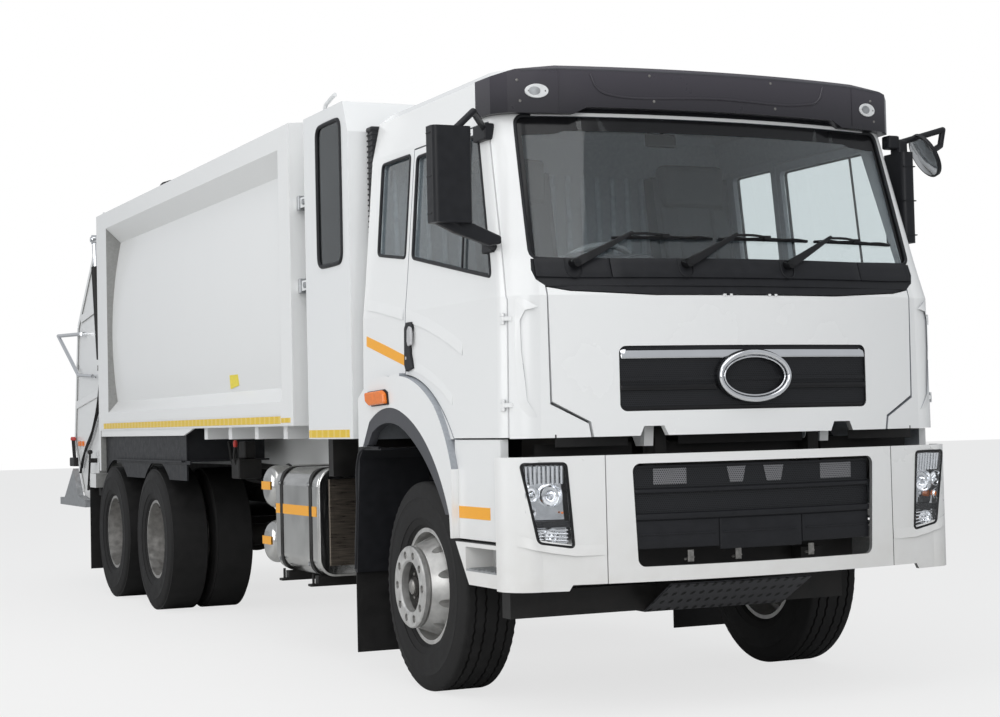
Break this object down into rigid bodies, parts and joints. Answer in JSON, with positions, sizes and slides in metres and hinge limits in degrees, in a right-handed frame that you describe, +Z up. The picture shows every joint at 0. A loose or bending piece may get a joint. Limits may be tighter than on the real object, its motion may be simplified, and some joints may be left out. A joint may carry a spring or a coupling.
{
  "type": "garbage truck",
  "caption": "Rear-loading garbage truck with a tilting cab, a crew cabin, a closed refuse body and a lifting tailgate with a packing blade.",
  "frame": {"origin": "middle of the bounding box on the ground", "axes": "+Y towards the back of the truck, +Z up, +X towards the side away from the driver"},
  "size_m": [3.09, 10.4469, 3.425],
  "materials": {
    "tyre": "matte",
    "rim_steel": "satin",
    "chassis_paint": "satin",
    "cast_parts": "matte",
    "white_paint": "gloss",
    "white_panels": "gloss",
    "black_plastic": "matte",
    "grey_plastic": "matte",
    "interior": "matte",
    "seat_cloth": "matte",
    "lamp_lens": "gloss",
    "window_glass": "gloss",
    "polished_tank": "gloss",
    "step_metal": "satin",
    "rubber_flap": "matte",
    "rail_steel": "gloss",
    "red_lens": "gloss"
  },
  "bodies": {
    "chassis": {"chassis_frame": "chassis_paint", "guard_plate": "step_metal", "front_axle": "cast_parts", "drive_axles": "cast_parts", "engine_block": "cast_parts", "driveline": "cast_parts", "fuel_tank": "polished_tank", "air_tanks": "polished_tank", "battery_box": "black_plastic", "bumper": "white_panels", "lower_grille": "black_plastic", "headlamps": "lamp_lens", "step_boxes": "white_panels", "mudguards": "black_plastic", "mudflaps": "rubber_flap", "crew_cabin": "white_paint", "crew_glass": "window_glass", "body_shell": "white_paint", "subframe": "white_paint"},
    "cab": {"cab_shell": "white_paint", "cab_glass": "window_glass", "cowl": "black_plastic", "sun_visor": "grey_plastic", "wipers": "black_plastic", "dashboard": "interior", "seats": "seat_cloth", "air_intake": "black_plastic", "arch_trims": "grey_plastic"},
    "left_door": {"door_left": "white_paint", "door_glass_left": "window_glass", "mirror_left": "black_plastic"},
    "right_door": {"door_right": "white_paint", "door_glass_right": "window_glass", "mirror_right": "black_plastic"},
    "front_lid": {"front_panel": "white_panels", "upper_grille": "black_plastic"},
    "crew_side_door": {"crew_door": "white_paint"},
    "left_knuckle": {"knuckle_left": "cast_parts"},
    "right_knuckle": {"knuckle_right": "cast_parts"},
    "track_rod": {"tie_rod": "chassis_paint"},
    "tailgate_body": {"tailgate": "white_paint", "rear_step": "step_metal", "grab_rails": "rail_steel", "tail_lamps": "red_lens"},
    "carriage": {"packer_carriage": "chassis_paint"},
    "blade": {"packer_blade": "chassis_paint"},
    "barrels": {"lift_barrels": "chassis_paint"},
    "rods": {"lift_rods": "rail_steel"},
    "wheel_front_left": {"tyre_front_left": "tyre", "rim_front_left": "rim_steel"},
    "wheel_front_right": {"tyre_front_right": "tyre", "rim_front_right": "rim_steel"},
    "wheel_middle_left": {"tyre_middle_left": "tyre", "rim_middle_left": "rim_steel"},
    "wheel_middle_right": {"tyre_middle_right": "tyre", "rim_middle_right": "rim_steel"},
    "wheel_rear_left": {"tyre_rear_left": "tyre", "rim_rear_left": "rim_steel"},
    "wheel_rear_right": {"tyre_rear_right": "tyre", "rim_rear_right": "rim_steel"}
  },
  "joints": [
    {"name": "steer_right", "type": "hinge", "parent": "chassis", "child": "right_knuckle", "pos_m": [-0.86, -3.762, 0.538], "axis": [0, 0, 1], "range_deg": [-38, 38]},
    {"name": "steer_left", "type": "hinge", "parent": "chassis", "child": "left_knuckle", "pos_m": [0.86, -3.762, 0.538], "axis": [0, 0, 1], "range_deg": [-38, 38]},
    {"name": "track_rod_pivot", "type": "hinge", "parent": "right_knuckle", "child": "track_rod", "pos_m": [-0.86, -3.552, 0.4247], "axis": [0, 0, 1], "range_deg": [-38, 38]},
    {"name": "spin_front_right", "type": "hinge", "parent": "right_knuckle", "child": "wheel_front_right", "pos_m": [-1.01, -3.762, 0.538], "axis": [1, 0, 0], "continuous": true},
    {"name": "spin_front_left", "type": "hinge", "parent": "left_knuckle", "child": "wheel_front_left", "pos_m": [1.01, -3.762, 0.538], "axis": [1, 0, 0], "continuous": true},
    {"name": "spin_middle_right", "type": "hinge", "parent": "chassis", "child": "wheel_middle_right", "pos_m": [-0.9175, 1.525, 0.538], "axis": [1, 0, 0], "continuous": true},
    {"name": "spin_middle_left", "type": "hinge", "parent": "chassis", "child": "wheel_middle_left", "pos_m": [0.9175, 1.525, 0.538], "axis": [1, 0, 0], "continuous": true},
    {"name": "spin_rear_right", "type": "hinge", "parent": "chassis", "child": "wheel_rear_right", "pos_m": [-0.9175, 2.875, 0.538], "axis": [1, 0, 0], "continuous": true},
    {"name": "spin_rear_left", "type": "hinge", "parent": "chassis", "child": "wheel_rear_left", "pos_m": [0.9175, 2.875, 0.538], "axis": [1, 0, 0], "continuous": true},
    {"name": "cab_tilt", "type": "hinge", "parent": "chassis", "child": "cab", "pos_m": [0, -4.95, 1.285], "axis": [1, 0, 0], "range_deg": [0, 50]},
    {"name": "door_left_hinge", "type": "hinge", "parent": "cab", "child": "left_door", "pos_m": [1.211, -4.915, 1.3], "axis": [0.0153, 0, -0.9999], "range_deg": [0, 70]},
    {"name": "door_right_hinge", "type": "hinge", "parent": "cab", "child": "right_door", "pos_m": [-1.211, -4.915, 1.3], "axis": [0.0153, 0, 0.9999], "range_deg": [0, 70]},
    {"name": "front_lid_hinge", "type": "hinge", "parent": "cab", "child": "front_lid", "pos_m": [0, -5.138, 1.955], "axis": [-1, 0, 0], "range_deg": [0, 75]},
    {"name": "crew_door_hinge", "type": "hinge", "parent": "chassis", "child": "crew_side_door", "pos_m": [1.241, -2.89, 1.39], "axis": [0, 0, -1], "range_deg": [0, 90]},
    {"name": "tailgate_lift", "type": "hinge", "parent": "chassis", "child": "tailgate_body", "pos_m": [0, 3.15, 3.36], "axis": [1, 0, 0], "range_deg": [0, 80]},
    {"name": "carriage_slide", "type": "slide", "parent": "tailgate_body", "child": "carriage", "axis": [0, 0.5368, -0.8437], "range_m": [0, 0.652]},
    {"name": "blade_sweep", "type": "hinge", "parent": "carriage", "child": "blade", "pos_m": [0, 3.75, 2.75], "axis": [1, 0, 0], "range_deg": [0, 70]},
    {"name": "barrel_swing", "type": "hinge", "parent": "chassis", "child": "barrels", "pos_m": [0, 3.38, 1.92], "axis": [1, 0, 0], "range_deg": [-5, 10]},
    {"name": "rod_stroke", "type": "slide", "parent": "barrels", "child": "rods", "axis": [0, 0.1911, 0.9816], "range_m": [0, 0.75]}
  ],
  "couplings": [
    {"joint": "steer_left", "follows": "steer_right", "ratio": 1},
    {"joint": "track_rod_pivot", "follows": "steer_right", "ratio": -1},
    {"joint": "barrel_swing", "follows": "tailgate_lift", "ratio": 0.0347},
    {"joint": "rod_stroke", "follows": "tailgate_lift", "m_per_rad": 0.5127}
  ]
}
